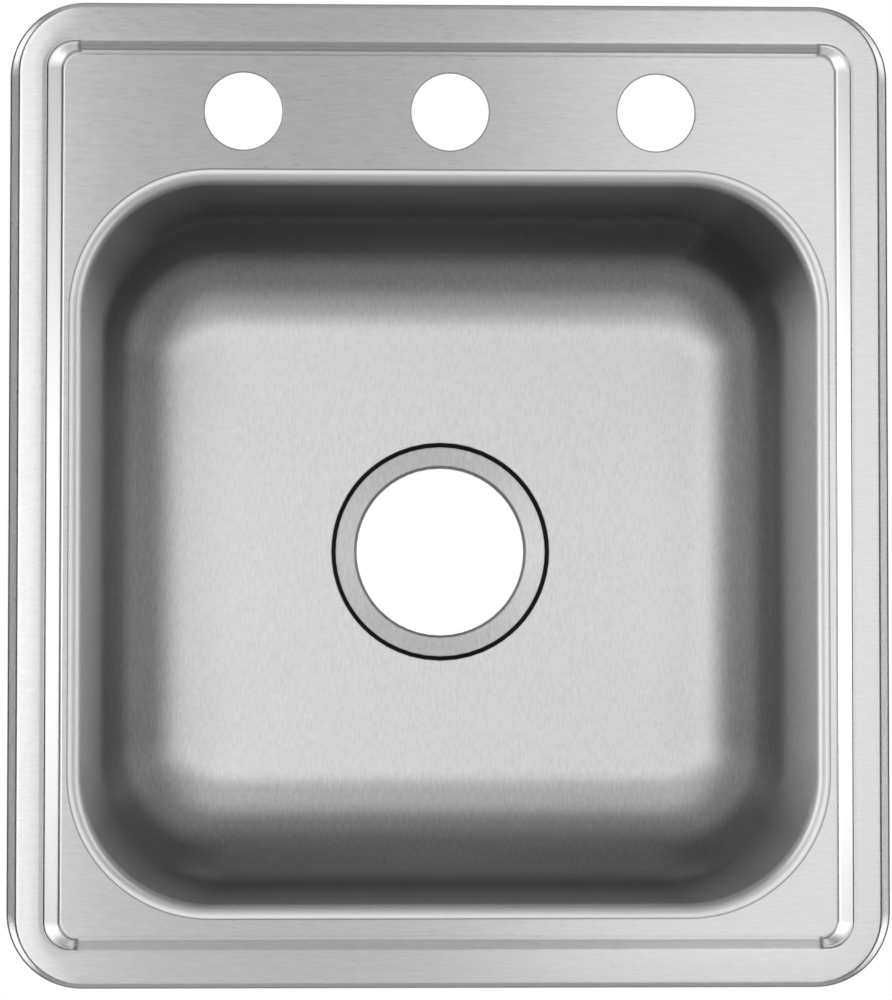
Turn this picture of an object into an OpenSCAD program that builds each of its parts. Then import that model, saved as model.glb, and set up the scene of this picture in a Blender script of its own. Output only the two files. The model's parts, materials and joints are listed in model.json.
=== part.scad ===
// Single-bowl drop-in sink in drawn stainless sheet, with its fixing rails and hold-down clips.
//
// The origin is the centre of the rim, on the plane of the worktop that the rim rests on.
// +X points right, +Y towards the faucet holes and +Z up. All sizes are in millimetres.

/* [Rim] */
// Width of the rim, left to right
sink_w = 431.8; // [420:0.1:600]
// Depth of the rim, front to back
sink_d = 482.6; // [470:0.1:600]
// Radius of the rim's corners
rim_r = 37; // [32:0.5:45]
// Thickness of the sheet steel
sheet_t = 0.76; // [0.6:0.02:1]
// Width of the flat edge that rests on the worktop
seat_w = 1.2; // [1:0.1:1.6]
// Distance from the rim's edge to the top of its outer slope
slope_w = 5.4; // [4.5:0.1:7]
// Height of the flange above the worktop
flange_z = 3.3; // [2.6:0.1:4]
// Distance from the rim's edge to the start of the step
step_from = 18.6; // [18:0.1:20]
// Distance from the rim's edge to the end of the step
step_to = 24.8; // [24:0.1:26]
// Height of the ledge inside the step
ledge_z = 1.3; // [1:0.1:2]

/* [Bowl] */
// Width of the ledge and rim beside the bowl
side_margin = 29.6; // [28:0.1:40]
// Width of the ledge and rim in front of the bowl
front_margin = 34; // [30:0.1:50]
// Width of the ledge and rim behind the bowl
rear_margin = 82.3; // [78:0.1:100]
// Corner radius of the bowl where it leaves the ledge
bowl_r = 69.5; // [66:0.5:80]
// Radius of the rolled lip of the bowl
lip_r = 6; // [4:0.5:8]
// Slope of the bowl walls, in degrees
draft = 2.5; // [1:0.5:3]
// Radius between the walls and the floor
floor_r = 45; // [30:1:50]
// Depth of the bowl floor below the worktop
bowl_depth = 155.6; // [120:0.1:200]

/* [Holes] */
// Diameter of the drain hole
drain_d = 88.9; // [80:0.1:92]
// Diameter of the recess round the drain hole
recess_d = 114.3; // [108:0.1:120]
// Depth of the step down into the recess
recess_z = 3; // [2:0.1:4]
// Diameter of each faucet hole
faucet_d = 38.1; // [32:0.1:40]
// Spacing of the faucet holes
faucet_gap = 101.6; // [90:0.1:110]
// Distance from the rear edge to the faucet holes
faucet_inset = 53.2; // [50:0.1:56]

/* [Fixing rails] */
// Distance from the rim's edge to the middle of a rail
rail_inset = 14.1; // [13.6:0.1:14.4]
// Width of a rail
rail_w = 11; // [10.6:0.1:12]
// Height of a rail
rail_h = 12; // [11:0.1:14]
// Thickness of the rail's sheet
rail_t = 0.9; // [0.8:0.05:1]
// Width of the slot along the underside of a rail
rail_slot_w = 5.4; // [5.2:0.1:6]
// Distance from the rim's corner to each end of a rail
rail_end_gap = 51; // [45:1:70]

/* [Hold-down clips] */
// Distance from the middle of a side rail to each of its clips
side_clip_y = 110; // [90:1:120]
// Distance from the middle of a front or rear rail to each of its clips
end_clip_x = 90; // [80:1:100]
// Outer diameter of the screw's thread
screw_d = 4.826; // [4.7:0.001:4.9]
// Thickness of the channel nut
nut_t = 3; // [2.6:0.1:3.2]
// Height of the claw's base plate, screw loosened
claw_z = -30; // [-34:0.5:-28]
// Width of the claw
claw_w = 12; // [10:0.5:12]
// Distance from the screw to the claw's gripping edge
claw_reach = 12.9; // [11:0.1:13]
// Height of the claw's heel above its base plate
heel_h = 12.4; // [11:0.1:12.4]
// Height of the claw's teeth above its base plate
tooth_h = 3; // [2.8:0.1:4]

/* [Hidden] */
$fn = 96;
OVERLAP = 0.3;             // how far neighbouring pieces of one sheet run into each other
BEND_STEPS = 8;            // straight pieces in the curve of a bend
STEEL = [0.76, 0.77, 0.78];
ZINC = [0.70, 0.72, 0.74];
PAD_GREY = [0.16, 0.16, 0.17];

BOWL_W = sink_w - 2 * side_margin;
BOWL_D = sink_d - front_margin - rear_margin;
BOWL_Y = (front_margin - rear_margin) / 2;
FLOOR_Z = -bowl_depth;
FAUCET_Y = sink_d / 2 - faucet_inset;

// the drain recess: a short steep wall, a shallow cone, then an edge turned down round the hole
RECESS_WALL_W = 2;
RECESS_FALL = 0.8;
DRAIN_EDGE_R = 2;
DRAIN_EDGE_H = 3;

// two deadening pads, one each side of the drain
PAD_W = 190;
PAD_D = 46;
PAD_T = 3;
PAD_Y = 95;
PAD_CORNER_R = 8;

WELD_GAP = 0.02;
RAIL_TOP = flange_z - sheet_t - WELD_GAP;
RAIL_BOTTOM = RAIL_TOP - rail_h;
RAIL_BEND_R = 1.5;

// the clip's pieces, from the rail down; the gaps are running clearances
GAP = 0.1;
SHAFT_GAP = 0.05;
NUT_SIDE_GAP = 0.4;        // keeps the nut clear of the bends inside the rail
SCREW_R = screw_d / 2;
NUT_Z = RAIL_BOTTOM + rail_t + GAP;
NUT_W = rail_w - 2 * rail_t - 2 * NUT_SIDE_GAP;
NUT_L = 12;
THREAD_ENGAGED = 1.5;
CLAW_T = 1.6;
CLAW_BEND_R = 1;
HEEL_X = -3.6;
TOOTH_NOTCH = 1.4;
WASHER_T = 1;
WASHER_R = 5.5;
WASHER_Z = claw_z - CLAW_T - GAP / 2 - WASHER_T;
HEAD_Z = WASHER_Z - GAP / 2;
HEAD_H = 3;
HEAD_FLATS = 7.94;
HEAD_SLOT_W = 1.2;
HEAD_SLOT_H = 1.3;

// each clip: its name, the direction it grips towards in degrees, and its end of the rail
CLIPS = [
    ["right_rear", 0, 1],
    ["right_front", 0, -1],
    ["rear_left", 90, 1],
    ["rear_right", 90, -1],
    ["left_front", 180, 1],
    ["left_rear", 180, -1],
    ["front_right", 270, 1],
    ["front_left", 270, -1],
];

// each rail: its name and the direction of its side of the sink in degrees
RAILS = [["rail_right", 0], ["rail_rear", 90], ["rail_left", 180], ["rail_front", 270]];

// ---- outlines of bent sheet ----
// A line of [distance inwards, height] points is the upper or inner surface of the sheet.

function ease(s) = (1 - cos(180 * s)) / 2;

// a smooth pressed step from one point to another
function ramp(from, to) = [
    for (i = [0:BEND_STEPS])
        let (s = i / BEND_STEPS)
        [from[0] + (to[0] - from[0]) * s, from[1] + (to[1] - from[1]) * ease(s)]
];

// points of an arc about a centre; the angle is measured from +x
function arc(centre, r, from, to) = [
    for (i = [0:BEND_STEPS])
        let (a = from + (to - from) * i / BEND_STEPS)
        centre + r * [cos(a), sin(a)]
];

function normal_at(line, i) =
    let (v = line[min(i + 1, len(line) - 1)] - line[max(i - 1, 0)])
    [-v[1], v[0]] / norm(v);

// two level points before or after a point, where the sheet runs into its neighbour
function run_in(point) = [point - [2 * OVERLAP, 0], point - [OVERLAP, 0]];
function run_out(point) = [point + [OVERLAP, 0], point + [2 * OVERLAP, 0]];

// the closed outline of a sheet of thickness t under a line
function sheet_outline(line, t) = concat(
    line,
    [for (i = [len(line) - 1:-1:0]) line[i] - t * normal_at(line, i)]
);

// the rim: seat, outer slope, flange, step down, and a strip of the ledge
RIM_LINE = concat(
    [[0, sheet_t]],
    run_in([seat_w, sheet_t]),
    ramp([seat_w, sheet_t], [slope_w, flange_z]),
    run_in([step_from, flange_z]),
    ramp([step_from, flange_z], [step_to, ledge_z]),
    run_out([step_to, ledge_z])
);

// the bowl: rolled lip, wall, curve into the floor, and a strip of the floor
LIP_END = [lip_r * cos(draft), ledge_z - lip_r * (1 - sin(draft))];
WALL_FALL = LIP_END[1] - FLOOR_Z - floor_r * (1 - sin(draft));
FLOOR_INSET = LIP_END[0] + WALL_FALL * tan(draft) + floor_r * cos(draft);
BOWL_LINE = concat(
    run_in([0, ledge_z]),
    arc([0, ledge_z - lip_r], lip_r, 90, draft),
    arc([FLOOR_INSET, FLOOR_Z + floor_r], floor_r, 180 + draft, 270),
    run_out([FLOOR_INSET, FLOOR_Z])
);

// the drain recess, measured inwards from where it leaves the floor
RECESS_R = recess_d / 2 + RECESS_WALL_W / 2;
RECESS_FLOOR_Z = FLOOR_Z - recess_z;
EDGE_CENTRE = [RECESS_R - drain_d / 2 - DRAIN_EDGE_R, RECESS_FLOOR_Z - RECESS_FALL - DRAIN_EDGE_R];
RECESS_LINE = concat(
    run_in([0, FLOOR_Z]),
    ramp([0, FLOOR_Z], [RECESS_WALL_W, RECESS_FLOOR_Z]),
    arc(EDGE_CENTRE, DRAIN_EDGE_R, 90, 0),
    [EDGE_CENTRE + [DRAIN_EDGE_R, -DRAIN_EDGE_H]]
);

// the claw: heel, base plate and toothed edge; x points towards the worktop's cut edge
TOOTH_X = claw_reach - CLAW_T;
CLAW_LINE = concat(
    [[HEEL_X, claw_z + heel_h]],
    arc([HEEL_X + CLAW_BEND_R, claw_z + CLAW_BEND_R], CLAW_BEND_R, 180, 270),
    arc([TOOTH_X - CLAW_BEND_R, claw_z + CLAW_BEND_R], CLAW_BEND_R, 270, 360),
    [[TOOTH_X, claw_z + tooth_h]]
);

// ---- shared shapes ----

module rounded_rect(w, d, r) {
    square([w - 2 * r, d], center = true);
    square([w, d - 2 * r], center = true);
    for (x = [-1, 1])
        for (y = [-1, 1])
            translate([x * (w / 2 - r), y * (d / 2 - r)])
                circle(r = r);
}

// carries a sheet round a rounded rectangle, its line running inwards from the outline
module sweep_round(w, d, r, line) {
    for (k = [0:3]) {
        out = (k % 2 == 0 ? w : d) / 2 - r;
        run = (k % 2 == 0 ? d : w) / 2 - r;
        rotate([0, 0, 90 * k])
            translate([out, run, 0]) {
                rotate([90, 0, 0])
                    linear_extrude(height = 2 * run)
                        turned_out(r, line);
                rotate_extrude(angle = 90)
                    turned_out(r, line);
            }
    }
}

// a sheet's outline with its inward distances turned into radii
module turned_out(r, line) {
    translate([r, 0])
        mirror([1, 0])
            polygon(sheet_outline(line, sheet_t));
}

// puts a clip's piece on its rail, with x pointing out of the sink
module on_rail(clip) {
    beside = clip[1] % 180 == 0;
    half = (beside ? sink_w : sink_d) / 2;
    along = clip[2] * (beside ? side_clip_y : end_clip_x);
    rotate([0, 0, clip[1]])
        translate([half - rail_inset, along, 0])
            children();
}

// ---- the sink ----

module ledge() {
    margin = step_to + OVERLAP;
    translate([0, 0, ledge_z - sheet_t])
        linear_extrude(height = sheet_t)
            difference() {
                rounded_rect(sink_w - 2 * margin, sink_d - 2 * margin, rim_r - margin);
                translate([0, BOWL_Y])
                    rounded_rect(BOWL_W + 2 * OVERLAP, BOWL_D + 2 * OVERLAP, bowl_r + OVERLAP);
                for (i = [-1:1])
                    translate([i * faucet_gap, FAUCET_Y])
                        circle(d = faucet_d);
            }
}

module bowl() {
    inset = FLOOR_INSET + OVERLAP;
    translate([0, BOWL_Y, 0]) {
        sweep_round(BOWL_W, BOWL_D, bowl_r, BOWL_LINE);
        translate([0, 0, FLOOR_Z - sheet_t])
            linear_extrude(height = sheet_t)
                difference() {
                    rounded_rect(BOWL_W - 2 * inset, BOWL_D - 2 * inset, bowl_r - inset);
                    circle(r = RECESS_R + OVERLAP);
                }
        rotate_extrude()
            turned_out(RECESS_R, RECESS_LINE);
    }
}

module sink_shell() {
    color(STEEL)
        union() {
            sweep_round(sink_w, sink_d, rim_r, RIM_LINE);
            ledge();
            bowl();
        }
}

module sound_pad(side) {
    color(PAD_GREY)
        translate([0, BOWL_Y + side * PAD_Y, FLOOR_Z - sheet_t - PAD_T])
            linear_extrude(height = PAD_T)
                rounded_rect(PAD_W, PAD_D, PAD_CORNER_R);
}

// ---- the rails ----

module fixing_rail(rail) {
    beside = rail[1] % 180 == 0;
    half = (beside ? sink_w : sink_d) / 2;
    len = (beside ? sink_d : sink_w) - 2 * rail_end_gap;
    color(STEEL)
        rotate([0, 0, rail[1]])
            translate([half - rail_inset, len / 2, RAIL_BOTTOM + rail_h / 2])
                rotate([90, 0, 0])
                    linear_extrude(height = len)
                        difference() {
                            rounded_rect(rail_w, rail_h, RAIL_BEND_R);
                            rounded_rect(rail_w - 2 * rail_t, rail_h - 2 * rail_t, RAIL_BEND_R - rail_t);
                            translate([0, -rail_h / 2])
                                square([rail_slot_w, 3 * rail_t], center = true);
                        }
}

// ---- the hold-down clips ----

module channel_nut(clip) {
    corner = 1;
    color(ZINC)
        on_rail(clip)
            translate([0, 0, NUT_Z])
                linear_extrude(height = nut_t)
                    difference() {
                        rounded_rect(NUT_W, NUT_L, corner);
                        circle(r = SCREW_R + SHAFT_GAP);
                    }
}

module clip_screw(clip) {
    top = NUT_Z + THREAD_ENGAGED;
    point_h = 0.6;
    color(ZINC)
        on_rail(clip)
            difference() {
                union() {
                    translate([0, 0, HEAD_Z])
                        cylinder(r = SCREW_R, h = top - point_h - HEAD_Z);
                    translate([0, 0, top - point_h])
                        cylinder(r1 = SCREW_R, r2 = SCREW_R - point_h, h = point_h);
                    translate([0, 0, HEAD_Z - HEAD_H])
                        cylinder(d = HEAD_FLATS / cos(30), h = HEAD_H, $fn = 6);
                }
                translate([0, 0, HEAD_Z - HEAD_H])
                    cube([HEAD_SLOT_W, 2 * HEAD_FLATS, 2 * HEAD_SLOT_H], center = true);
            }
}

module clip_washer(clip) {
    color(ZINC)
        on_rail(clip)
            translate([0, 0, WASHER_Z])
                linear_extrude(height = WASHER_T)
                    difference() {
                        circle(r = WASHER_R);
                        circle(r = SCREW_R + SHAFT_GAP);
                    }
}

module clip_claw(clip) {
    color(ZINC)
        on_rail(clip)
            difference() {
                translate([0, claw_w / 2, 0])
                    rotate([90, 0, 0])
                        linear_extrude(height = claw_w)
                            polygon(sheet_outline(CLAW_LINE, CLAW_T));
                translate([0, 0, claw_z - 2 * CLAW_T])
                    cylinder(r = SCREW_R + SHAFT_GAP, h = 4 * CLAW_T);
                for (side = [-1, 1])
                    translate([TOOTH_X, side * claw_w / 6, claw_z + tooth_h])
                        rotate([45, 0, 0])
                            cube([4 * CLAW_T, TOOTH_NOTCH, TOOTH_NOTCH], center = true);
            }
}

sink_shell();
sound_pad(-1);  // sound_pad_front
sound_pad(1);  // sound_pad_rear
for (rail = RAILS)
    fixing_rail(rail);
for (clip = CLIPS) {
    channel_nut(clip);
    clip_screw(clip);
    clip_washer(clip);
    clip_claw(clip);
}
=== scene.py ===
"""Looks of the drop-in sink: drawn and brushed stainless sheet, rails, pads and hold-down clips.

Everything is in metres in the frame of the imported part: +X right, +Y towards the faucet holes, +Z up,
with the origin at the centre of the rim on the plane of the worktop.
"""

import json
import math

import bpy
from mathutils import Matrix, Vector
from mathutils.geometry import delaunay_2d_cdt


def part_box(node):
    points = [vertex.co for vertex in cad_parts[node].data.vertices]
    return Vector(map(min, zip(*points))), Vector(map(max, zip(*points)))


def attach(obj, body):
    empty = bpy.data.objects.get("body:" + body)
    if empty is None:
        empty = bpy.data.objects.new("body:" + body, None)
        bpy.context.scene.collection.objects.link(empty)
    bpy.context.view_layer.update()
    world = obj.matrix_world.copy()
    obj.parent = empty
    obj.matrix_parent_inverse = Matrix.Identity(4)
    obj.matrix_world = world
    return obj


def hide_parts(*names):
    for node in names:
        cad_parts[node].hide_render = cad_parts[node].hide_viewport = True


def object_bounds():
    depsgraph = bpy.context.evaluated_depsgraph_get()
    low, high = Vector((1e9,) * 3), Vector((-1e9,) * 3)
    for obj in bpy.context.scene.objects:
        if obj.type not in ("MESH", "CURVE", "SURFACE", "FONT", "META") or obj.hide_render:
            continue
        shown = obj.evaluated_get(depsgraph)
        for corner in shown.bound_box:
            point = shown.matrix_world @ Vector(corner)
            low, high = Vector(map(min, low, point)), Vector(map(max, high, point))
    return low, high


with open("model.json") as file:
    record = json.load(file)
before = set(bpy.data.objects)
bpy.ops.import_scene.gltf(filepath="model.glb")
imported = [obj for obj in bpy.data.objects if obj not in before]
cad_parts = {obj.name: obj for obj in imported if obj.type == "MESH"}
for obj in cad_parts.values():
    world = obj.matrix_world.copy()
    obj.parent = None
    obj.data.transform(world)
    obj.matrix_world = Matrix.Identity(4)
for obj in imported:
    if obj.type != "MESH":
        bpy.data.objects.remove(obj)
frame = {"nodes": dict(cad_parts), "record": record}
CAD_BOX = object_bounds()

MM = 0.001
QUARTER = math.pi / 2
MOUNTS = {mount["name"]: mount for mount in frame["record"]["mounts"]}

# the shell's main sizes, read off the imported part
SHELL_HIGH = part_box("sink_shell")[1]
HALF_W = SHELL_HIGH.x
HALF_D = SHELL_HIGH.y
SHEET = MOUNTS["faucet_hole_centre"]["dims"]["length_mm"] * MM
LEDGE_Z = MOUNTS["faucet_hole_centre"]["pos_m"][2] + SHEET / 2
FAUCET_Y = MOUNTS["faucet_hole_centre"]["pos_m"][1]
FAUCET_R = MOUNTS["faucet_hole_centre"]["dims"]["r_mm"] * MM
FAUCET_SPACING = MOUNTS["faucet_holes_outer"]["dims"]["spacing_x_mm"] * MM / 2
DRAIN_R = MOUNTS["drain_hole"]["dims"]["r_mm"] * MM
DRAIN_Y = MOUNTS["drain_hole"]["pos_m"][1]
FLOOR_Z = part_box("sound_pad_front")[1].z + SHEET

# the bowl
BOWL_HALF_W = 186.3 * MM
BOWL_HALF_D = 183.15 * MM
BOWL_CORNER_R = 69.5 * MM
LIP_R = 6 * MM
DRAFT = math.radians(2.5)
SIDE_FILLET_R = 45 * MM
END_FILLET_R = 61 * MM
CORNER_GAIN = 8 * MM           # how much rounder than the lip the bowl's corners are at the floor
DISH = 1.2 * MM                # how far the floor falls from its edge to the drain
FLOOR_EDGE_Z = FLOOR_Z + DISH

# the rim and ledge
RIM_CORNERS = [(0, 37), (5.3, 31.7), (18.3, 13), (25.9, 8.7), (27, 8.2)]    # (inset, corner radius) in mm
CHANNEL_END = 34 * MM          # from the rim's side edge to where the side channel ends
CHANNEL_FADE = 2.4 * MM        # over how long it ends
# painted shade in the rounded wall that closes the side channel
CHANNEL_END_SHADE = 0.75
FLANGE_TURN = 4 * MM           # from the rim's side edge to where the flange starts to lose its lean
FRONT_STEP_SHADE = 0.25        # painted shade on the front step, as a share of the rear step's
LIP_SHADE_LINE_W = 0.9 * MM          # the width of the fine line of painted shade in the ledge round the lip
FAUCET_ROLL = 0.5 * MM         # the radius of the punched edge
FAUCET_CLEAR = 0.6 * MM        # a point closer to a faucet hole than this is not on the ledge
LEVEL_STRIP = 0.3 * MM         # keeps the ledge level right up to a hole's bend
GRID_SPACING = 12 * MM
GRID_MARGIN = 4 * MM

# how finely a ring is cut up
CORNER_STEPS = 24
EDGE_STEPS = 10                # fine steps at both ends of a straight side
EDGE_STEP = 0.6 * MM
MIDDLE_STEPS = 14


# ---- shares ----

def ease(t):
    """Smooth change from 0 to 1 as t goes from 0 to 1."""
    t = min(max(t, 0.0), 1.0)
    return t * t * (3 - 2 * t)


def rise(value, start, finish):
    """0 on the start's side and 1 on the finish's side, with a smooth change between them."""
    return ease((value - start) / (finish - start))


def channel_share(point):
    """1 where the side channel runs, 0 along the front and rear, where it has ended."""
    from_side = HALF_W - abs(point.x)
    return rise(from_side, CHANNEL_END + CHANNEL_FADE / 2, CHANNEL_END - CHANNEL_FADE / 2)


def flange_share(point):
    """1 along the sides, fading to 0 all the way round the corners."""
    from_side = HALF_W - abs(point.x)
    return rise(from_side, CHANNEL_END, FLANGE_TURN)


def channel_end_share(point):
    """1 at the rounded wall that closes the side channel, 0 away from it; where painted shade goes there."""
    from_end = abs(HALF_W - abs(point.x) - CHANNEL_END)
    return rise(from_end, 0.8 * CHANNEL_FADE, 0)


# ---- rings ----

def straight(length):
    """Distances along a straight side: fine steps near its ends and even ones between."""
    step = min(EDGE_STEP, length / (3 * EDGE_STEPS))
    fine = EDGE_STEPS * step
    middle = length - 2 * fine
    near = [i * step for i in range(EDGE_STEPS)]
    between = [fine + middle * i / MIDDLE_STEPS for i in range(MIDDLE_STEPS)]
    far = [length - fine + i * step for i in range(EDGE_STEPS)]
    return near + between + far


def outline(half_w, half_d, radius, centre_y=0.0):
    """Points round a rounded rectangle, anticlockwise from its right side."""
    points = []
    for quarter in range(4):
        out, run = (half_w, half_d) if quarter % 2 == 0 else (half_d, half_w)
        turn = QUARTER * quarter
        ahead = Vector((math.cos(turn), math.sin(turn)))
        across = Vector((-ahead.y, ahead.x))
        for s in straight(2 * (run - radius)):
            points.append(ahead * out + across * (radius - run + s))
        corner = ahead * (out - radius) + across * (run - radius)
        for i in range(CORNER_STEPS):
            a = QUARTER * i / CORNER_STEPS
            points.append(corner + (ahead * math.cos(a) + across * math.sin(a)) * radius)
    return [Vector((p.x, p.y + centre_y)) for p in points]


def inside_round(p, half_w, half_d, radius, centre_y=0.0):
    """Whether a point is inside a rounded rectangle."""
    dx = abs(p.x) - (half_w - radius)
    dy = abs(p.y - centre_y) - (half_d - radius)
    if dx <= 0 or dy <= 0:
        return dx <= radius and dy <= radius
    return dx * dx + dy * dy < radius * radius


def bowl_ring(side_inset, end_inset, radius, z):
    """One ring of the bowl."""
    flat = outline(BOWL_HALF_W - side_inset, BOWL_HALF_D - end_inset, radius, DRAIN_Y)
    return [Vector((p.x, p.y, z)) for p in flat]


def drain_ring(like, radius, z):
    """A circle round the drain with one point in line with each point of another ring."""
    ring = []
    for p in like:
        out = Vector((p.x, p.y - DRAIN_Y)).normalized() * radius
        ring.append(Vector((out.x, out.y + DRAIN_Y, z)))
    return ring


# ---- finishes: what the sheet's surface is like at each vertex, and its painted shade ----

# shade is painted shade: it darkens the base colour where shadow falls, and below 0 lightens it as a painted
# highlight
FINISH_KEYS = ("rough", "aniso", "grain", "bowl", "shade")
LEDGE_FINISH = dict(rough=0.30, aniso=0.95, grain=1.0, bowl=0.0, shade=0.0)
BOWL_FINISH = dict(rough=0.45, aniso=0.5, grain=1.0, bowl=1.0, shade=0.0)
PRESSED_FINISH = dict(rough=0.26, aniso=0.3, grain=0.2, bowl=0.0, shade=0.0)
# the lip's shade of -0.35 is a painted highlight: it lightens the lip's colour
LIP_FINISH = dict(rough=0.5, aniso=0.2, grain=0.35, bowl=0.5, shade=-0.35)


def blend(a, b, share):
    """The finish that is a where share is 0 and b where it is 1."""
    return {key: a[key] + (b[key] - a[key]) * share for key in FINISH_KEYS}


def shaded(finish, shade):
    """A finish with painted shade: darker colour for shadow, or a painted highlight where below 0."""
    return dict(finish, shade=shade)


class Sheet:
    """Collects the vertices and faces of a surface, with the finish at each vertex."""

    def __init__(self):
        self.vertices = []
        self.faces = []
        self.finishes = []

    def add_ring(self, ring, finish=LEDGE_FINISH):
        """Adds a ring of vertices with one finish, or a list of one for each vertex."""
        first = len(self.vertices)
        self.vertices.extend(ring)
        self.finishes.extend(finish if isinstance(finish, list) else [finish] * len(ring))
        return list(range(first, first + len(ring)))

    def join(self, outer, inner):
        """A band of faces between two rings with the same number of points."""
        count = len(outer)
        for i in range(count):
            j = (i + 1) % count
            self.faces.append((outer[i], outer[j], inner[j], inner[i]))

    def add_bands(self, rings, last=None):
        """Adds (ring, finish) pairs, each joined to the one before it; returns their loops."""
        loops = []
        for ring, finish in rings:
            loop = self.add_ring(ring, finish)
            if last:
                self.join(last, loop)
            loops.append(loop)
            last = loop
        return loops

    def mesh(self, name):
        """The collected surface as a smooth mesh."""
        made = bpy.data.meshes.new(name)
        made.from_pydata([tuple(v) for v in self.vertices], [], self.faces)
        made.validate()
        made.shade_smooth()
        return made


# ---- the shell ----

# the rim's section, from its edge inwards: distance, height and painted shade beside the bowl, then the same
# three in front of it and behind it; distances and heights in millimetres; the painted shade darkens the
# colour where shadow falls, and below 0 lightens it as a painted highlight
RIM_SECTION = [
    # the raw edge, painted a little dark
    (0.00, 0.51, 0.30, 0.00, 0.51, 0.30),
    (0.08, 0.68, 0.30, 0.08, 0.68, 0.30),
    (0.25, 0.76, 0.45, 0.25, 0.76, 0.45),
    (0.45, 0.80, 0.45, 0.40, 0.80, 0.40),
    (0.65, 0.88, 0.20, 0.60, 0.95, 0.20),
    # the outer slope
    (1.00, 1.06, 0.00, 0.85, 1.25, 0.00),
    (2.00, 1.58, 0.00, 1.20, 1.75, 0.00),
    (3.00, 2.10, 0.00, 1.60, 2.32, 0.00),
    (4.00, 2.62, 0.00, 2.00, 2.80, 0.00),
    (4.60, 2.93, 0.00, 2.40, 3.08, 0.00),
    (4.95, 3.03, 0.00, 2.80, 3.18, 0.00),
    # the flange, leaning outwards beside the bowl
    (5.40, 3.06, 0.00, 3.40, 3.21, 0.00),
    (6.60, 3.08, 0.00, 6.00, 3.25, 0.00),
    (9.00, 3.12, 0.00, 9.00, 3.28, 0.00),
    (11.5, 3.16, 0.00, 11.5, 3.30, 0.00),
    (13.5, 3.20, 0.00, 14.0, 3.27, 0.00),
    (15.5, 3.23, 0.00, 16.5, 3.23, 0.00),
    (17.7, 3.27, 0.00, 18.5, 3.20, 0.00),
    # the creased channel beside the bowl, and the step in front of it and behind it, with painted shade in
    # the creases and on the step
    (18.1, 3.18, 0.35, 18.9, 3.14, 0.15),
    (18.4, 2.95, 0.75, 19.3, 3.00, 0.42),
    (18.8, 2.86, 0.25, 19.8, 2.81, 0.45),
    (19.1, 2.80, 0.05, 20.5, 2.54, 0.45),
    (21.0, 2.42, 0.05, 21.2, 2.26, 0.52),
    (22.5, 2.12, 0.05, 21.9, 1.98, 0.45),
    (24.0, 1.82, 0.05, 22.5, 1.73, 0.45),
    (25.0, 1.62, 0.05, 22.9, 1.56, 0.55),
    (25.4, 1.46, 0.35, 23.3, 1.36, 0.60),
    (25.8, 1.26, 0.75, 23.8, 1.22, 0.00),
    # the -0.3 at the inner edge of the step is a painted highlight
    (26.2, 1.26, 0.35, 24.4, 1.30, -0.3),
    # the start of the ledge
    (26.5, 1.30, 0.00, 25.0, 1.33, 0.10),
    (26.8, 1.30, 0.00, 25.4, 1.31, 0.35),
    (27.0, 1.30, 0.00, 26.0, 1.30, 0.00),
]
CHANNEL_FROM, CHANNEL_TO = 18.1, 26.2
SECTION_END = RIM_SECTION[-1]


def rim_corner(inset):
    """The rim's corner radius at a distance inwards from its side edge, both in millimetres."""
    for (x0, y0), (x1, y1) in zip(RIM_CORNERS, RIM_CORNERS[1:]):
        if inset <= x1:
            return y0 + (y1 - y0) * (inset - x0) / (x1 - x0)
    return RIM_CORNERS[-1][1]


def rim_rings():
    """(ring, finishes) from the outer edge inwards to the ledge."""
    rings = []
    for side_inset, side_z, side_shade, end_inset, end_z, end_shade in RIM_SECTION:
        flat = outline(HALF_W - side_inset * MM, HALF_D - end_inset * MM, rim_corner(side_inset) * MM)
        past_flange = side_inset >= CHANNEL_FROM
        in_channel = past_flange and side_inset <= CHANNEL_TO
        side_finish = shaded(PRESSED_FINISH if in_channel else LEDGE_FINISH, side_shade)
        ring = []
        finishes = []
        for p in flat:
            share = channel_share(p) if past_flange else flange_share(p)
            # painted shade on the step: the front step gets only a share of the rear step's
            step_shade = FRONT_STEP_SHADE if past_flange and p.y < 0 else 1
            end_finish = shaded(LEDGE_FINISH, end_shade * step_shade)
            finish = blend(end_finish, side_finish, share)
            # the rounded end of the side channel is painted dark
            if in_channel:
                finish["shade"] = max(finish["shade"], CHANNEL_END_SHADE * channel_end_share(p))
            ring.append(Vector((p.x, p.y, (end_z + (side_z - end_z) * share) * MM)))
            finishes.append(finish)
        rings.append((ring, finishes))
    return rings


def corner_radius(inset, z):
    """The bowl's corner radius: concentric with the lip, and rounder towards the floor."""
    lip_foot = LEDGE_Z - LIP_R
    depth = min(max((lip_foot - z) / (lip_foot - FLOOR_Z), 0), 1)
    return BOWL_CORNER_R - inset + CORNER_GAIN * depth


def wall_inset(height, fillet_r):
    """How far inwards the bowl's wall is at a height above the floor, below the rolled lip."""
    lip_inset = LIP_R * math.cos(DRAFT)
    lip_foot = LEDGE_Z - LIP_R * (1 - math.sin(DRAFT))
    bend_height = fillet_r * (1 - math.sin(DRAFT))
    wall_height = max(height, bend_height)
    inset = lip_inset + (lip_foot - FLOOR_EDGE_Z - wall_height) * math.tan(DRAFT)
    if height < bend_height:
        inset += fillet_r * math.cos(DRAFT) - math.sqrt(max(fillet_r ** 2 - (fillet_r - height) ** 2, 0))
    return inset


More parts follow.
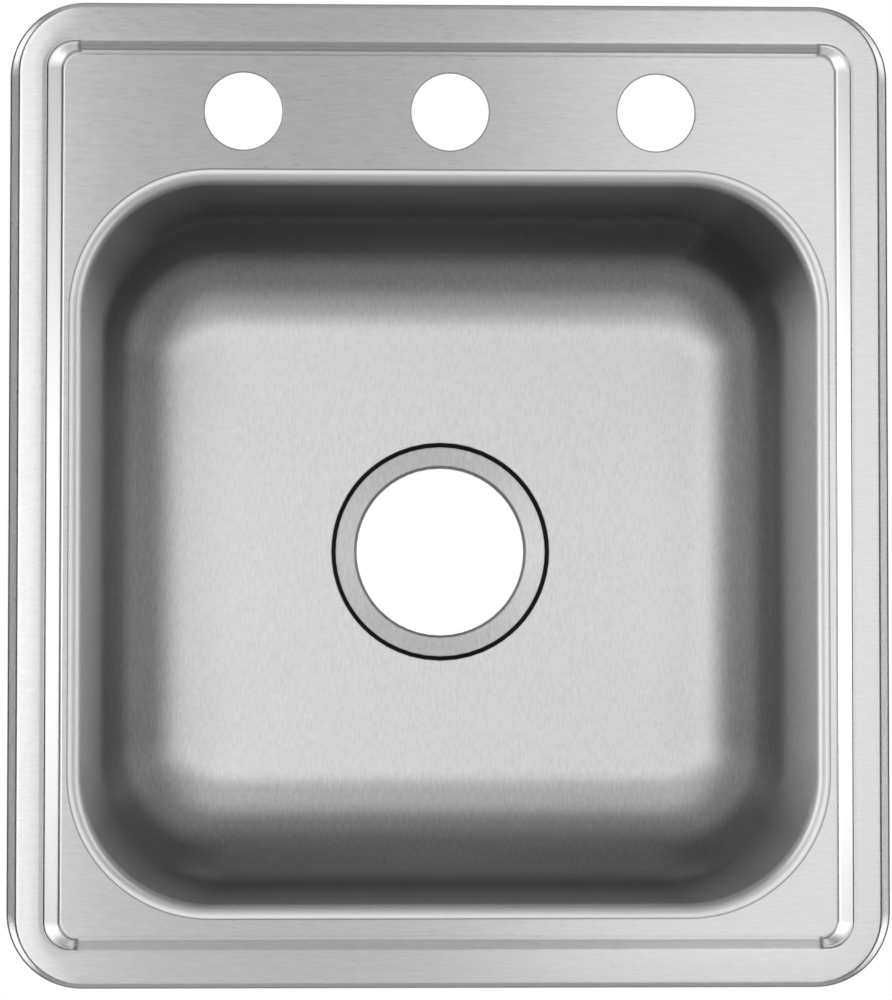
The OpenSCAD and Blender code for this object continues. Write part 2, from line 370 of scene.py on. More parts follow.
def bowl_shade(point, height):
    """Painted shade of the bowl: darker in its corners, on its end walls and in the bend above its floor."""
    ahead = (point.y - DRAIN_Y) / BOWL_HALF_D
    right = point.x / BOWL_HALF_W
    far, near = max(abs(ahead), abs(right)), min(abs(ahead), abs(right))
    rear = rise(ahead, 0.4, 0.7)
    bend = 0.42 + 0.25 * rear - 0.34 * rise(ahead, -0.6, -0.8)
    bend *= rise(height, 75 * MM, 35 * MM)
    end_wall = (0.55 + 0.12 * ease(ahead)) * rise(abs(ahead), 0.75, 0.90)
    end_wall *= rise(height, 25 * MM, 55 * MM)
    # the rear right corner gets extra painted shade
    corner = (0.5 + 0.3 * rear * rise(right, 0.4, 0.7)) * rise(near / far, 0.62, 0.87)
    return max(bend, end_wall, corner) * rise(height, 12 * MM, 22 * MM)


def lip_rings():
    """(ring, finish) of the rolled lip, from the ledge down to the wall."""
    rings = []
    steps = 10
    for i in range(1, steps + 1):
        a = (QUARTER - DRAFT) * i / steps
        inset = LIP_R * math.sin(a)
        z = LEDGE_Z - LIP_R * (1 - math.cos(a))
        finish = blend(LIP_FINISH, BOWL_FINISH, rise(i / steps, 0.6, 1.0))
        rings.append((bowl_ring(inset, inset, corner_radius(inset, z), z), finish))
    return rings


def wall_heights():
    """Heights above the floor's edge, from just below the lip to the floor, closer together in the bend."""
    wall_top = LEDGE_Z - LIP_R * (1 - math.sin(DRAFT)) - FLOOR_EDGE_Z
    bend_top = END_FILLET_R * (1 - math.sin(DRAFT))
    wall_steps = 12
    bend_steps = 20
    heights = [wall_top + (bend_top - wall_top) * i / wall_steps for i in range(1, wall_steps + 1)]
    for i in range(1, bend_steps + 1):
        a = DRAFT + (QUARTER - DRAFT) * i / bend_steps
        heights.append(END_FILLET_R * (1 - math.sin(a)))
    return heights


def wall_rings():
    """(ring, finishes) of the bowl from below its lip to the edge of the floor."""
    rings = []
    for height in wall_heights():
        side_inset = wall_inset(height, SIDE_FILLET_R)
        end_inset = wall_inset(height, END_FILLET_R)
        z = FLOOR_EDGE_Z + height
        radius = corner_radius((side_inset + end_inset) / 2, z)
        ring = bowl_ring(side_inset, end_inset, radius, z)
        # the bowl's walls and bend carry painted shade
        rings.append((ring, [shaded(BOWL_FINISH, bowl_shade(p, height)) for p in ring]))
    return rings


def drain_line():
    """(radius, height, painted shade) of the recess round the drain hole, from the floor to the hole's lower
    edge.
    """
    edge_r, foot_r = 58.0 * MM, 56.1 * MM
    edge_bend, foot_bend, hole_bend = 0.7 * MM, 0.6 * MM, 2 * MM
    foot_z = FLOOR_Z - 2.4 * MM
    cone_top_r = foot_r - foot_bend
    cone_foot_r = DRAIN_R + hole_bend
    cone_foot_z = foot_z - 1.4 * MM
    hole_z = cone_foot_z - 5 * MM
    bend_steps = 5
    hole_steps = 6
    turn = math.radians(75)
    line = [(edge_r + 0.5 * MM, FLOOR_Z, 0.0)]
    # the recess's wall is painted dark, standing in for its shadow
    for i in range(bend_steps + 1):
        a = turn * i / bend_steps
        shade = 0.3 if i == 0 else 1.0
        z = FLOOR_Z - edge_bend * (1 - math.cos(a))
        line.append((edge_r - edge_bend * math.sin(a), z, shade))
    for i in range(bend_steps + 1):
        a = turn * (1 - i / bend_steps)
        shade = 0.2 if i == bend_steps else 1.0
        z = foot_z + foot_bend * (1 - math.cos(a))
        line.append((foot_r - foot_bend * (1 - math.sin(a)), z, shade))
    for t in (0.1, 0.4, 0.7, 1.0):
        r = cone_top_r + (cone_foot_r - cone_top_r) * t
        line.append((r, foot_z + (cone_foot_z - foot_z) * t, 0.0))
    # the hole's bent edge is painted slightly darker
    for i in range(1, hole_steps + 1):
        a = QUARTER * i / hole_steps
        z = cone_foot_z - hole_bend * (1 - math.cos(a))
        line.append((cone_foot_r - hole_bend * math.sin(a), z, 0.25 * i / hole_steps))
    line.append((DRAIN_R, hole_z, 0.3))
    return line


def floor_rings(edge, inner_r):
    """Rings of the dished floor, from inside its edge to a circle round the drain."""
    target = drain_ring(edge, inner_r, FLOOR_Z)
    steps = 12
    rings = []
    for k in range(1, steps):
        t = k / steps
        ring = [a.lerp(b, t) for a, b in zip(edge, target)]
        for p in ring:
            p.z = FLOOR_Z + DISH * (1 - t) ** 1.5
        rings.append(ring)
    return rings


def add_bowl(sheet, lip):
    """The lip, walls, floor and drain recess."""
    foot = sheet.add_bands(lip_rings() + wall_rings(), lip)[-1]
    edge = [sheet.vertices[i] for i in foot]
    drain = drain_line()
    floor = [(ring, BOWL_FINISH) for ring in floor_rings(edge, drain[0][0])]
    recess = [(drain_ring(edge, r, z), shaded(BOWL_FINISH, shade)) for r, z, shade in drain]
    sheet.add_bands(floor + recess, foot)


def on_ledge(p, margin=0.0):
    """Whether a point is on the ledge, clear of its edges by a margin."""
    beyond = 0.9 * LIP_SHADE_LINE_W + margin
    if inside_round(p, BOWL_HALF_W + beyond, BOWL_HALF_D + beyond, BOWL_CORNER_R + beyond, DRAIN_Y):
        return False
    for side in (-1, 0, 1):
        from_centre = (p - Vector((side * FAUCET_SPACING, FAUCET_Y))).length
        if from_centre < FAUCET_R + FAUCET_CLEAR + margin:
            return False
    half_w = HALF_W - SECTION_END[0] * MM - margin
    half_d = HALF_D - SECTION_END[3] * MM - margin
    return inside_round(p, half_w, half_d, rim_corner(SECTION_END[0]) * MM)


def ledge_grid():
    """Points spread over the ledge, clear of its edges."""
    columns = int(HALF_W / GRID_SPACING)
    rows = int(HALF_D / GRID_SPACING)
    spots = []
    for i in range(-columns, columns + 1):
        for j in range(-rows, rows + 1):
            p = Vector((i * GRID_SPACING, j * GRID_SPACING))
            if on_ledge(p, GRID_MARGIN):
                spots.append(p)
    return spots


def add_ledge(sheet, outer, lip, holes):
    """The flat ledge between the step, the bowl's lip and the faucet holes."""
    flat = []
    index = []
    edges = []
    opening = {}
    for loop in [outer, lip] + holes:
        first = len(flat)
        count = len(loop)
        flat.extend(sheet.vertices[i].xy for i in loop)
        index.extend(loop)
        edges.extend((first + i, first + (i + 1) % count) for i in range(count))
        if loop is not outer:
            opening.update((i, loop[0]) for i in loop)
    for spot in ledge_grid():
        flat.append(spot)
        index.extend(sheet.add_ring([Vector((spot.x, spot.y, LEDGE_Z))]))
    points, _, faces, origins = delaunay_2d_cdt(flat, edges, [], 0, 1e-7)[:4]
    names = [index[origin[0]] for origin in origins]
    for face in faces:
        centre = sum((points[i] for i in face), Vector((0, 0))) / len(face)
        corners = [names[i] for i in face]
        openings = {opening.get(i) for i in corners}
        across_opening = len(openings) == 1 and None not in openings
        if across_opening or not on_ledge(centre):
            continue
        a, b, c = (sheet.vertices[i] for i in corners[:3])
        if (b - a).cross(c - a).z < 0:
            corners.reverse()
        sheet.faces.append(tuple(corners))


def add_faucet_hole(sheet, side):
    """A punched hole with its edge drawn slightly down; returns its outer loop."""
    last_angle = math.radians(75)
    outer_r = FAUCET_R + FAUCET_ROLL
    bend_steps = 3
    line = [(outer_r + LEVEL_STRIP, LEDGE_Z, 0.0)]
    for k in range(bend_steps + 1):
        a = last_angle * k / bend_steps
        inset = FAUCET_ROLL * math.sin(a) / math.sin(last_angle)
        # the bent edge is painted darker towards the hole, a painted shade outline
        line.append((outer_r - inset, LEDGE_Z - FAUCET_ROLL * (1 - math.cos(a)), 0.4 + 0.15 * k))
    columns = 96
    turns = [2 * math.pi * i / columns for i in range(columns)]
    x, y = side * FAUCET_SPACING, FAUCET_Y
    rings = []
    for r, z, shade in line:
        ring = [Vector((x + r * math.cos(a), y + r * math.sin(a), z)) for a in turns]
        rings.append((ring, shaded(LEDGE_FINISH, shade)))
    return sheet.add_bands(rings)[0]


def add_lip_shade_line(sheet):
    """The fine line of painted shade round the lip; returns its outer loop and the lip's own."""
    rings = []
    for share, finish in (
        (1.0, LEDGE_FINISH),
        (0.6, shaded(LEDGE_FINISH, 0.6)),
        (0.3, shaded(LEDGE_FINISH, 0.6)),
        (0.0, shaded(LIP_FINISH, 0.0)),
    ):
        outside = LIP_SHADE_LINE_W * share
        ring = bowl_ring(-outside, -outside, BOWL_CORNER_R + outside, LEDGE_Z)
        rings.append((ring, finish))
    loops = sheet.add_bands(rings)
    return loops[0], loops[-1]


def shell_mesh():
    """The whole pressed sheet as one surface, with its finishes as attributes."""
    sheet = Sheet()
    outer = sheet.add_bands(rim_rings())[-1]
    border, lip = add_lip_shade_line(sheet)
    holes = [add_faucet_hole(sheet, side) for side in (-1, 0, 1)]
    add_ledge(sheet, outer, border, holes)
    add_bowl(sheet, lip)
    mesh = sheet.mesh("shell")
    for key in FINISH_KEYS:
        layer = mesh.attributes.new(key, "FLOAT", "POINT")
        layer.data.foreach_set("value", [finish[key] for finish in sheet.finishes])
    mesh.materials.append(brushed_steel())
    mesh.materials.append(underside_steel())
    return mesh


def add_piece(name, mesh, body, node, place=(0, 0, 0), turn=0.0):
    """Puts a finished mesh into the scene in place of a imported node."""
    piece = bpy.data.objects.new(name, mesh)
    piece.location = place
    piece.rotation_euler = (0, 0, turn)
    bpy.context.scene.collection.objects.link(piece)
    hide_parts(node)
    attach(piece, body)
    return piece


def make_shell():
    """The shell, given its thickness and its unbrushed back by a modifier."""
    shell = add_piece("shell_sheet", shell_mesh(), "sink", "sink_shell")
    thickness = shell.modifiers.new("thickness", "SOLIDIFY")
    thickness.thickness = SHEET
    thickness.offset = -1
    thickness.use_rim = True
    thickness.material_offset = 1
    thickness.material_offset_rim = 1


# ---- materials ----

def add(tree, kind, inputs=None, **settings):
    """Adds a node, with its settings, and its inputs as values or as links from other nodes."""
    made = tree.nodes.new(kind)
    for name, value in settings.items():
        setattr(made, name, value)
    feed(tree, made, inputs or {})
    return made


def feed(tree, node, inputs):
    """Sets a node's inputs, each to a value or to a link from another node."""
    for name, value in inputs.items():
        if isinstance(value, bpy.types.NodeSocket):
            tree.links.new(value, node.inputs[name])
        else:
            node.inputs[name].default_value = value


def new_material(name):
    """A new material, with its tree and its shader."""
    material = bpy.data.materials.new(name)
    material.use_nodes = True
    tree = material.node_tree
    return material, tree, tree.nodes["Principled BSDF"]


def streaks(tree, coords, scale, detail=3.0, roughness=0.6):
    """Noise drawn out along one axis: scale is in features per metre along x, y and z."""
    stretched = add(tree, "ShaderNodeVectorMath", {0: coords, 1: scale}, operation="MULTIPLY")
    noise = add(tree, "ShaderNodeTexNoise", {
        "Vector": stretched.outputs[0],
        "Scale": 1.0,
        "Detail": detail,
        "Roughness": roughness,
    })
    return noise.outputs["Fac"]


def math_node(tree, operation, a, b=0.0, c=0.0):
    """The result of one sum on values or links."""
    return add(tree, "ShaderNodeMath", {0: a, 1: b, 2: c}, operation=operation).outputs[0]


def spread(tree, pattern, width, base):
    """A pattern of 0 to 1 made into values from base up to base + width."""
    return math_node(tree, "MULTIPLY_ADD", pattern, width, base)


def mix(tree, share, a, b):
    """a where share is 0 and b where it is 1; two numbers or two directions."""
    kind, first = ("VECTOR", 4) if isinstance(a, tuple) else ("FLOAT", 2)
    made = add(tree, "ShaderNodeMix", {0: share, first: a, first + 1: b}, data_type=kind)
    return made.outputs[1 if kind == "VECTOR" else 0]


def colour_of(tree, red, green=None, blue=None):
    """A colour from its three parts, or a grey from one."""
    parts = {0: red, 1: green or red, 2: blue or red}
    return add(tree, "ShaderNodeCombineColor", parts).outputs[0]


def bumps(tree, pattern, strength, height):
    """The surface's direction, with a pattern raised to a height in metres."""
    inputs = {"Strength": strength, "Distance": height, "Height": pattern}
    return add(tree, "ShaderNodeBump", inputs).outputs[0]


def brushed_steel():
    """Brushed sheet: grain along x on the rim and ledge, along y in the bowl, smooth where it was pressed."""
    material, tree, shader = new_material("brushed_steel")
    coords = add(tree, "ShaderNodeTexCoord").outputs["Object"]
    rough, aniso, grain_share, bowl, shade = (
        add(tree, "ShaderNodeAttribute", attribute_name=key).outputs["Fac"] for key in FINISH_KEYS
    )
    ledge_grain = streaks(tree, coords, (140, 1100, 1100))
    bowl_grain = streaks(tree, coords, (1000, 210, 420), 4.0, 0.65)
    grain = mix(tree, bowl, ledge_grain, bowl_grain)
    grain = math_node(tree, "SUBTRACT", grain, 0.5)
    grain = math_node(tree, "MULTIPLY", grain, grain_share)
    contrast = mix(tree, bowl, 0.2, 0.4)
    tone = spread(tree, grain, contrast, 0.60)
    # painted shade: the shade attribute darkens the colour, or lightens it as a painted highlight where below
    # 0
    painted_lightness = spread(tree, shade, -0.93, 1.0)
    tone = math_node(tree, "MULTIPLY", tone, painted_lightness)
    normal = add(tree, "ShaderNodeNewGeometry").outputs["Normal"]
    along = mix(tree, bowl, (1, 0, 0), (0, 1, 0.35))
    across = add(tree, "ShaderNodeVectorMath", {0: normal, 1: along}, operation="CROSS_PRODUCT").outputs[0]
    feed(tree, shader, {
        "Base Color": colour_of(tree, tone),
        "Roughness": spread(tree, grain, 0.12, rough),
        "Anisotropic": aniso,
        "Tangent": across,
        "Normal": bumps(tree, grain, 0.09, 0.0004),
        "Metallic": 1.0,
    })
    return material


def underside_steel():
    """The unbrushed back of the sheet."""
    material, tree, shader = new_material("underside_steel")
    coords = add(tree, "ShaderNodeTexCoord").outputs["Object"]
    cloud = streaks(tree, coords, (60, 60, 60), 5.0)
    feed(tree, shader, {
        "Base Color": colour_of(tree, spread(tree, cloud, 0.12, 0.50)),
        "Roughness": spread(tree, cloud, 0.2, 0.35),
        "Metallic": 1.0,
    })
    return material


def zinc_plate():
    """Bright zinc plating: a bluish grey with cloudy patches and fine handling scratches."""
    material, tree, shader = new_material("zinc_plate")
    coords = add(tree, "ShaderNodeTexCoord").outputs["Object"]
    cloud = streaks(tree, coords, (180, 180, 180), 4.0)
    scratch = streaks(tree, coords, (300, 2600, 900), 2.0)
    tone = spread(tree, cloud, 0.16, 0.56)
    red = math_node(tree, "MULTIPLY", tone, 0.985)
    blue = spread(tree, cloud, -0.03, math_node(tree, "MULTIPLY", tone, 1.06))
    feed(tree, shader, {
        "Base Color": colour_of(tree, red, tone, blue),
        "Roughness": spread(tree, cloud, 0.22, 0.2),
        "Normal": bumps(tree, scratch, 0.25, 0.00005),
        "Metallic": 1.0,
    })
    return material


def galvanised_strip():
    """Galvanised strip: faint crystal patches and rolling lines."""
    material, tree, shader = new_material("galvanised_strip")
    coords = add(tree, "ShaderNodeTexCoord").outputs["Object"]
    crystal = add(tree, "ShaderNodeTexVoronoi", {"Vector": coords, "Scale": 240.0}).outputs["Color"]
    patch = add(tree, "ShaderNodeSeparateColor", {0: crystal}).outputs[0]
    line = streaks(tree, coords, (40, 40, 1500))
    tone = spread(tree, line, 0.08, spread(tree, patch, 0.10, 0.50))
    feed(tree, shader, {
        "Base Color": colour_of(tree, tone),
        "Roughness": spread(tree, patch, 0.14, 0.34),
        "Normal": bumps(tree, line, 0.2, 0.00005),
        "Metallic": 1.0,
    })
    return material


def pad_rubber():
    """Dark moulded rubber with a fine pebbled skin and a little dust."""
    material, tree, shader = new_material("pad_rubber")
    coords = add(tree, "ShaderNodeTexCoord").outputs["Object"]
    pebble = add(tree, "ShaderNodeTexVoronoi", {"Vector": coords, "Scale": 1400.0}).outputs["Distance"]
    dust = streaks(tree, coords, (90, 90, 90), 5.0, 0.7)
    feed(tree, shader, {
        "Base Color": colour_of(tree, spread(tree, dust, 0.05, 0.018)),
        "Roughness": spread(tree, dust, 0.25, 0.58),
        "Normal": bumps(tree, pebble, 0.5, 0.0002),
    })
    return material


# ---- pieces below the rim ----

EDGE_SOFTNESS = 0.2 * MM

# the hold-down screw
SCREW_PITCH = 25.4 / 24 * MM
THREAD_R = 2.413 * MM
THREAD_DEPTH = 0.55 * MM
SCREW_NECK = 1.5 * MM          # plain length below the head
END_TAPER = 0.6 * MM
SCREW_COLUMNS = 24
HEAD_HEIGHT = 3 * MM
HEAD_OVERLAP = 0.4 * MM        # how far the rod reaches into the head
HEAD_CHAMFER = 0.35 * MM
HEAD_COLUMNS = 72
SLOT_WIDTH, SLOT_DEPTH = 1.2 * MM, 1.3 * MM

# the deadening pad
PAD_CORNER_R = 8 * MM
PAD_ROLL = 1.1 * MM
PAD_BURY = 0.3 * MM            # into the glue line under the dished floor
PAD_SWELL = 0.12 * MM
PAD_INSETS = (2, 3.5, 6, 9, 13, 17, 20, 22.4)    # rings on the pad's face, in millimetres from its edge


def dress(node, material):
    """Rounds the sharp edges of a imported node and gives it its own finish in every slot."""
    piece = frame["nodes"][node]
    flat = piece.modifiers.new("one_face_per_plane", "DECIMATE")
    flat.decimate_type = "DISSOLVE"
    flat.angle_limit = math.radians(1)
    bevel = piece.modifiers.new("soft_edges", "BEVEL")
    bevel.width = EDGE_SOFTNESS
    bevel.segments = 2
    bevel.limit_method = "ANGLE"
    bevel.angle_limit = math.radians(30)
    for slot in piece.material_slots:
        slot.material = material


def tube_faces(rows, columns):
    """Faces of a closed tube whose vertices stand in rows + 1 rings of columns, from the bottom up."""
    faces = []
    for row in range(rows):
        low, high = row * columns, (row + 1) * columns
        for column in range(columns):
            beside = (column + 1) % columns
            faces.append((low + column, low + beside, high + beside, high + column))
    faces.append(tuple(range(columns - 1, -1, -1)))
    faces.append(tuple(rows * columns + column for column in range(columns)))
    return faces


def thread_mesh_data(bottom, top):
    """Vertices and faces of a threaded rod with a plain neck and a tapered end."""
    rows_per_pitch = 6
    rows = int((top - bottom) / SCREW_PITCH * rows_per_pitch)
    neck = bottom + SCREW_NECK
    vertices = []
    for row in range(rows + 1):
        z = bottom + (top - bottom) * row / rows
        fade = rise(z, neck, neck + SCREW_PITCH)
        taper = END_TAPER * rise(z, top - END_TAPER, top)
        for column in range(SCREW_COLUMNS):
            turn = column / SCREW_COLUMNS
            phase = (z / SCREW_PITCH - turn) % 1.0
            groove = 1 - abs(2 * phase - 1)
            r = THREAD_R - THREAD_DEPTH * ease(1.3 * groove - 0.15) * fade - taper
            a = 2 * math.pi * turn
            vertices.append((r * math.cos(a), r * math.sin(a), z))
    return vertices, tube_faces(rows, SCREW_COLUMNS)


def hex_head_data(across_flats, bottom):
    """Vertices and faces of a hexagonal head with its corners chamfered at both ends."""
    flat_r = across_flats / 2
    chamfer_slope = math.tan(math.radians(62))
    levels = [0, 0.12 * MM, 0.24 * MM, HEAD_CHAMFER, HEAD_HEIGHT / 2]
    levels += [HEAD_HEIGHT - level for level in reversed(levels[:-1])]
    vertices = []
    for level in levels:
        from_end = min(level, HEAD_HEIGHT - level)
        round_limit = 0.99 * flat_r + from_end * chamfer_slope
        for column in range(HEAD_COLUMNS):
            a = 2 * math.pi * column / HEAD_COLUMNS
            off_flat = (a % (math.pi / 3)) - math.pi / 6
            r = min(flat_r / math.cos(off_flat), round_limit)
            vertices.append((r * math.cos(a), r * math.sin(a), bottom + level))
    return vertices, tube_faces(len(levels) - 1, HEAD_COLUMNS)


def slotted(mesh, across, bottom):
    """A copy of a mesh with a screwdriver slot cut across its lower end."""
    low, high = bottom - 1 * MM, bottom + SLOT_DEPTH
    x, y = across, SLOT_WIDTH / 2
    corners = [(sx, sy, z) for z in (low, high) for sx, sy in ((-x, -y), (x, -y), (x, y), (-x, y))]
    sides = [(3, 2, 1, 0), (4, 5, 6, 7), (0, 1, 5, 4), (1, 2, 6, 5), (2, 3, 7, 6), (3, 0, 4, 7)]
    cutter_mesh = bpy.data.meshes.new("slot")
    cutter_mesh.from_pydata(corners, [], sides)
    cutter = bpy.data.objects.new("slot_cutter", cutter_mesh)
    blank = bpy.data.objects.new("head_blank", mesh)
    for made in (cutter, blank):
        bpy.context.scene.collection.objects.link(made)
    cut = blank.modifiers.new("cut", "BOOLEAN")
    cut.operation = "DIFFERENCE"
    cut.object = cutter
    cut.solver = "EXACT"
    bpy.context.view_layer.update()
    shaped = bpy.data.meshes.new_from_object(blank.evaluated_get(bpy.context.evaluated_depsgraph_get()))
    for made in (cutter, blank):
        bpy.data.objects.remove(made)
    return shaped


def screw_mesh(node, material):
    """A slotted hexagon-head screw with a real thread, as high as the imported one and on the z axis."""
    low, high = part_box(node)
    flats = min(high.x - low.x, high.y - low.y)
    head_vertices, head_faces = hex_head_data(flats, low.z)
    blank = bpy.data.meshes.new("head")
    blank.from_pydata(head_vertices, [], head_faces)
    head = slotted(blank, flats, low.z)
    rod_vertices, rod_faces = thread_mesh_data(low.z + HEAD_HEIGHT - HEAD_OVERLAP, high.z)
    shift = len(head.vertices)
    vertices = [tuple(v.co) for v in head.vertices] + rod_vertices
    faces = [tuple(p.vertices) for p in head.polygons]
    faces += [tuple(shift + i for i in face) for face in rod_faces]
    mesh = bpy.data.meshes.new("hold_down_screw")
    mesh.from_pydata(vertices, [], faces)
    mesh.shade_smooth()
    mesh.set_sharp_from_angle(angle=math.radians(35))
    mesh.materials.append(material)
    return mesh


def make_screws(material):
    """One screw in each clip, all sharing one mesh and turned as their packed heads are."""
    prefix = "clip_screw_"
    nodes = [node for node in frame["nodes"] if node.startswith(prefix)]
    mesh = screw_mesh(nodes[0], material)
    for node in nodes:
        low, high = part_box(node)
        clip = node.removeprefix(prefix)
        place = ((low.x + high.x) / 2, (low.y + high.y) / 2, 0)
        corners_on_x = (high.x - low.x) > (high.y - low.y)
        turn = 0 if corners_on_x else QUARTER
        add_piece("threaded_screw_" + clip, mesh, "screw_" + clip, node, place, turn)


def pad_section(low_z, high_z):
    """(inset, height) from the glued face, round the rolled edge and over the free face."""
    roll_steps = 6
    section = [(0, high_z + PAD_BURY), (0, low_z + PAD_ROLL)]
    for i in range(1, roll_steps + 1):
        a = QUARTER * i / roll_steps
        section.append((PAD_ROLL * (1 - math.cos(a)), low_z + PAD_ROLL * (1 - math.sin(a))))
    return section + [(inset * MM, low_z) for inset in PAD_INSETS]


def make_pad(node, material):
    """A moulded rubber pad with a rolled edge and a slightly uneven face, stuck under the bowl."""
    low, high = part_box(node)
    half_w, half_d = (high.x - low.x) / 2, (high.y - low.y) / 2
    centre = (low + high) / 2
    sheet = Sheet()
    last = None
    for inset, z in pad_section(low.z, high.z):
        on_face = rise(inset, PAD_ROLL, PAD_ROLL + 4 * MM)
        ring = []
        for p in outline(half_w - inset, half_d - inset, max(PAD_CORNER_R - inset, 0.4 * MM)):
            swell = PAD_SWELL * abs(math.sin(p.x * 70 + p.y * 40)) * on_face
            ring.append(Vector((p.x + centre.x, p.y + centre.y, z + swell)))
        made = sheet.add_ring(ring)
        if last:
            sheet.join(made, last)
        last = made
    sheet.faces.append(tuple(reversed(last)))
    sheet.faces.append(tuple(range(len(last))))
    name = node + "_moulded"
    mesh = sheet.mesh(name)
    mesh.materials.append(material)
    add_piece(name, mesh, "sink", node)


def make_hardware():
    """Rails, clips, pads and screws."""
    zinc = zinc_plate()
    strip = galvanised_strip()
    rubber = pad_rubber()
    for node in frame["nodes"]:
        if node.startswith("rail_"):
            dress(node, strip)
        elif node.startswith(("channel_nut_", "clip_washer_", "clip_claw_")):
            dress(node, zinc)
        elif node.startswith("sound_pad_"):
            make_pad(node, rubber)
    make_screws(zinc)


# ---- floor, light and camera ----

FLOOR_HALF = 6.0
WHITE = (1, 1, 1, 1)
CEILING_Z = 2.4
WALL_OUT = 2.4
CAMERA_PLACE = (-0.0603, -0.0786, 1.8583)
CAMERA_TILT = (2.327, -1.801, 0.022)    # in degrees
CAMERA_LENS = 136.55


def map_range(tree, value, from_low, from_high, to_low, to_high):
    """A value carried from one range over to another."""
    inputs = {0: value, 1: from_low, 2: from_high, 3: to_low, 4: to_high}
    return add(tree, "ShaderNodeMapRange", inputs).outputs[0]


def mix_shaders(tree, share, a, b):
    """a where share is 0 and b where it is 1."""
    return add(tree, "ShaderNodeMixShader", {0: share, 1: a, 2: b}).outputs[0]


def pale_floor():
    """Pale paint that the camera sees white from straight above and far away, and sees through from below."""
    material, tree, shader = new_material("pale_floor")
    feed(tree, shader, {"Base Color": (0.86, 0.86, 0.86, 1), "Roughness": 0.6})
    glow = add(tree, "ShaderNodeEmission", {"Color": WHITE, "Strength": 1.0}).outputs[0]
    clear = add(tree, "ShaderNodeBsdfTransparent").outputs[0]
    seen = add(tree, "ShaderNodeLightPath").outputs["Is Camera Ray"]
    geometry = add(tree, "ShaderNodeNewGeometry").outputs
    height = add(tree, "ShaderNodeSeparateXYZ", {0: geometry["Incoming"]}).outputs["Z"]
    reach = add(tree, "ShaderNodeVectorMath", {0: geometry["Position"]}, operation="LENGTH").outputs["Value"]
    above = map_range(tree, height, 0.90, 0.97, 0.35, 1.0)
    far = map_range(tree, reach, 0.9, 2.2, 0.0, 1.0)
    white = math_node(tree, "MULTIPLY", math_node(tree, "MAXIMUM", above, far), seen)
    below = math_node(tree, "MULTIPLY", math_node(tree, "LESS_THAN", height, 0.0), seen)
    painted = mix_shaders(tree, white, shader.outputs[0], glow)
    surface = mix_shaders(tree, below, painted, clear)
    tree.links.new(surface, tree.nodes["Material Output"].inputs["Surface"])
    return material


def make_floor():
    """A plain floor under the bowl."""
    low = CAD_BOX[0].z
    mesh = bpy.data.meshes.new("floor")
    corners = [(x * FLOOR_HALF, y * FLOOR_HALF, low) for x, y in ((-1, -1), (1, -1), (1, 1), (-1, 1))]
    mesh.from_pydata(corners, [], [(0, 1, 2, 3)])
    mesh.materials.append(pale_floor())
    floor = bpy.data.objects.new("floor", mesh)
    bpy.context.scene.collection.objects.link(floor)


def panel(name, place, turn, width, height, brightness):
    """A rectangular studio light, seen by the steel but not by the camera."""
    light = bpy.data.lights.new(name, "AREA")
    light.shape = "RECTANGLE"
    light.size = width
    light.size_y = height
    light.energy = brightness * math.pi * width * height
    lamp = bpy.data.objects.new(name, light)
    lamp.location = place
    lamp.rotation_euler = turn
    lamp.visible_camera = False
    bpy.context.scene.collection.objects.link(lamp)


def ceiling_panel(name, x_from, x_to, y_from, y_to, brightness):
    """A panel on the ceiling, facing down."""
    middle = ((x_from + x_to) / 2, (y_from + y_to) / 2, CEILING_Z)
    panel(name, middle, (0, 0, 0), x_to - x_from, y_to - y_from, brightness)


def wall_panel(name, azimuth, z_from, z_to, brightness):
    """A long panel on one wall of the room, facing the sink; azimuth 0 is the wall on the right."""
    turn = math.radians(azimuth)
    middle = (WALL_OUT * math.cos(turn), WALL_OUT * math.sin(turn), (z_from + z_to) / 2)
    panel(name, middle, (0, QUARTER, turn), z_to - z_from, 2 * WALL_OUT, brightness)


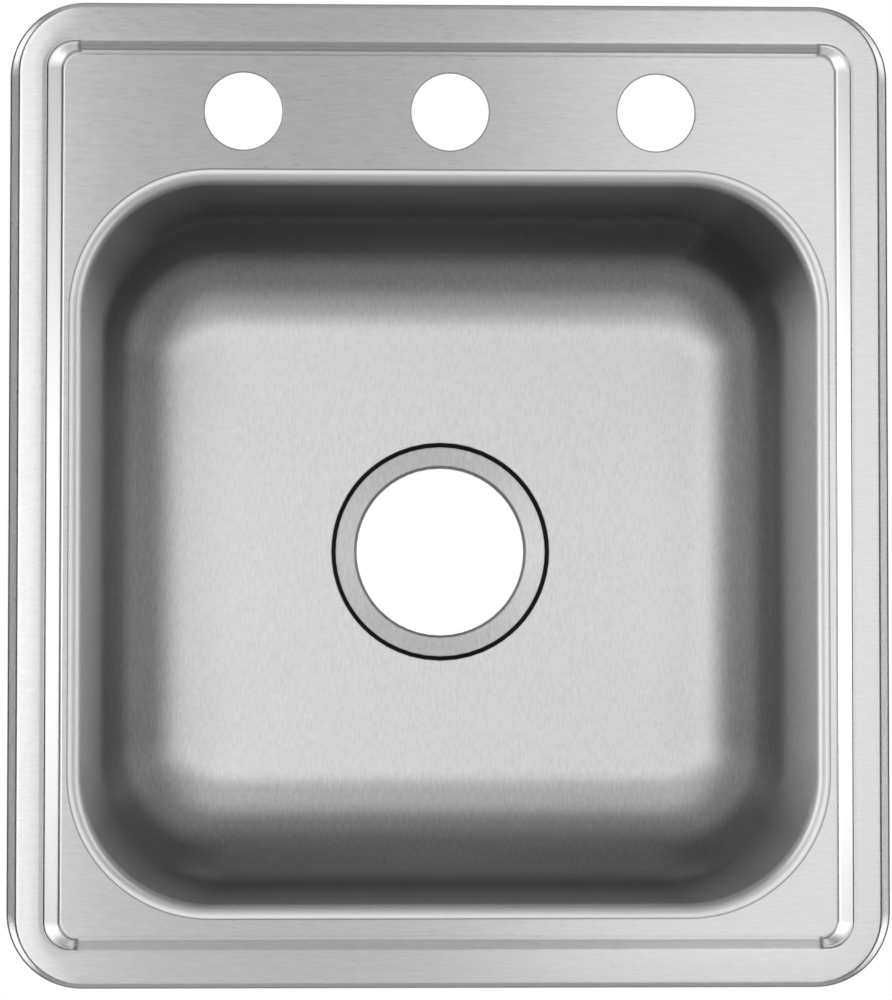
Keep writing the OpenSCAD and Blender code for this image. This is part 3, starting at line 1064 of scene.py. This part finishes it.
def make_world():
    """A dim room, with a white backdrop for the camera."""
    world = bpy.data.worlds.new("studio")
    world.use_nodes = True
    bpy.context.scene.world = world
    tree = world.node_tree
    room = add(tree, "ShaderNodeBackground", {"Color": WHITE, "Strength": 0.06}).outputs[0]
    backdrop = add(tree, "ShaderNodeBackground", {"Color": WHITE, "Strength": 1.0}).outputs[0]
    seen = add(tree, "ShaderNodeLightPath").outputs["Is Camera Ray"]
    tree.links.new(mix_shaders(tree, seen, room, backdrop), tree.nodes["World Output"].inputs["Surface"])


def make_lights():
    """Two bright overhead panels either side of a dim one above the sink, and weaker ones round them."""
    make_world()
    ceiling_panel("left_key", -1.3, -0.45, -0.35, 0.38, 4.4)
    ceiling_panel("middle", -0.45, 0.15, -0.4, 0.35, 1.05)
    ceiling_panel("right_key", 0.15, 1.3, -0.35, 0.38, 2.5)
    ceiling_panel("left_rear_fill", -1.3, -0.42, 0.38, 2.4, 1.25)
    ceiling_panel("right_rear_fill", 0.3, 1.3, 0.38, 1.4, 0.65)
    ceiling_panel("rear_strip", -0.42, 1.0, 1.4, 2.4, 1.5)
    ceiling_panel("near_strip", -1.0, 0.9, -0.9, -0.4, 0.65)
    ceiling_panel("front_strip", -0.7, 0.9, -2.4, -0.9, 0.9)
    wall_panel("right_wall", 0, 0.0, 1.0, 2.0)
    wall_panel("rear_wall", 90, 0.0, 1.4, 0.5)
    wall_panel("left_wall", 180, 0.0, 1.0, 2.7)
    wall_panel("front_wall", 270, 0.0, 1.4, 0.5)


def make_camera():
    """A camera high above the front left of the sink, looking straight down but for a small tilt."""
    data = bpy.data.cameras.new("camera")
    data.lens = CAMERA_LENS
    data.sensor_width = 36
    data.clip_start = 0.05
    data.clip_end = 50
    camera = bpy.data.objects.new("camera", data)
    camera.location = CAMERA_PLACE
    camera.rotation_euler = [math.radians(a) for a in CAMERA_TILT]
    bpy.context.scene.collection.objects.link(camera)
    bpy.context.scene.camera = camera


make_shell()
make_hardware()
make_floor()
make_lights()
make_camera()
bpy.context.scene.view_settings.view_transform = "Standard"
